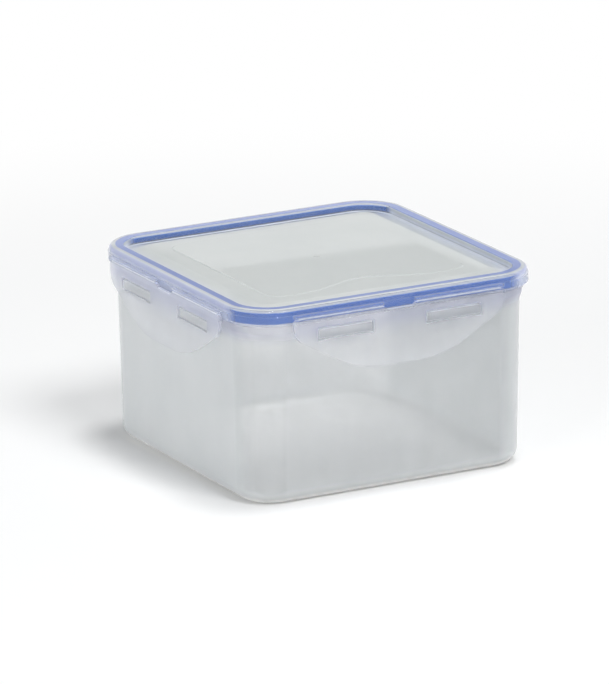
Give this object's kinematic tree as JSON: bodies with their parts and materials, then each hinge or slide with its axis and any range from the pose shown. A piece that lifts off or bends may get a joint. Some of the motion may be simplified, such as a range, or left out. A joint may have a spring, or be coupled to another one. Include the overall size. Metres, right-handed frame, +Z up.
{
  "type": "food storage container",
  "caption": "Square clear plastic food box with a sealed lid held by a clip flap on each side.",
  "frame": {"origin": "middle of the base, on the surface that the box stands on", "axes": "+Z up; -Y out of the front side, +X out of the right side"},
  "size_m": [0.194, 0.194, 0.113],
  "materials": {
    "tub_plastic": "translucent natural polypropylene, satin, faintly bluish",
    "lid_plastic": "translucent natural polypropylene, satin",
    "flap_plastic": "translucent natural polypropylene, satin",
    "web_plastic": "thin polypropylene living hinge, slightly whitened",
    "seal_silicone": "soft blue silicone, matte"
  },
  "bodies": {
    "tub": {"tub": "tub_plastic"},
    "lid": {"lid": "lid_plastic", "seal": "seal_silicone", "hinge_web_front_right": "web_plastic", "hinge_web_front_left": "web_plastic", "hinge_web_right_back": "web_plastic", "hinge_web_right_front": "web_plastic", "hinge_web_back_left": "web_plastic", "hinge_web_back_right": "web_plastic", "hinge_web_left_front": "web_plastic", "hinge_web_left_back": "web_plastic"},
    "flap_front": {"flap_front": "flap_plastic"},
    "flap_right": {"flap_right": "flap_plastic"},
    "flap_back": {"flap_back": "flap_plastic"},
    "flap_left": {"flap_left": "flap_plastic"}
  },
  "joints": [
    {"name": "lid_lift", "type": "slide", "parent": "tub", "child": "lid", "axis": [0, 0, 1], "range_m": [0, 0.18]},
    {"name": "flap_front_hinge", "type": "hinge", "parent": "lid", "child": "flap_front", "pos_m": [0, -0.09608, 0.1073], "axis": [-1, 0, 0], "range_deg": [0, 150], "deforming": ["hinge_web_front_right", "hinge_web_front_left"]},
    {"name": "flap_right_hinge", "type": "hinge", "parent": "lid", "child": "flap_right", "pos_m": [0.09608, 0, 0.1073], "axis": [0, -1, 0], "range_deg": [0, 150], "deforming": ["hinge_web_right_back", "hinge_web_right_front"]},
    {"name": "flap_back_hinge", "type": "hinge", "parent": "lid", "child": "flap_back", "pos_m": [0, 0.09608, 0.1073], "axis": [1, 0, 0], "range_deg": [0, 150], "deforming": ["hinge_web_back_left", "hinge_web_back_right"]},
    {"name": "flap_left_hinge", "type": "hinge", "parent": "lid", "child": "flap_left", "pos_m": [-0.09608, 0, 0.1073], "axis": [0, 1, 0], "range_deg": [0, 150], "deforming": ["hinge_web_left_front", "hinge_web_left_back"]}
  ]
}
